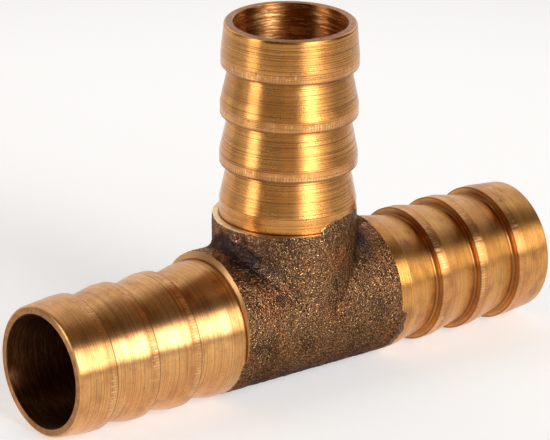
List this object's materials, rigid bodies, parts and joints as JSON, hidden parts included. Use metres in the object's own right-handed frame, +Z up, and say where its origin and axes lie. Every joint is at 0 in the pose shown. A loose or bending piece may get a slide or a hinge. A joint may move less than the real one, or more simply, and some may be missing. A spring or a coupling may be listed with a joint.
{
  "type": "barbed tee connector",
  "caption": "Rigid brass hose tee: a rough as-cast centre with three turned, barbed hose tails at right angles on a shared T passage.",
  "frame": {"origin": "under the middle of the fitting's box, at the height of the lowest barb crests, which it lies on", "axes": "+X along the run from the left tail to the right tail, +Z up along the branch, +Y to the back"},
  "size_m": [0.0726, 0.0178, 0.0449],
  "materials": {
    "cast_brass": "as-cast, blasted, dark brown oxide with bright grains",
    "turned_brass": "lathe-turned bright metal with fine circumferential tool lines"
  },
  "bodies": {
    "root": {"cast_body": "cast_brass", "left_hose_tail": "turned_brass", "right_hose_tail": "turned_brass", "branch_hose_tail": "turned_brass"}
  },
  "joints": []
}
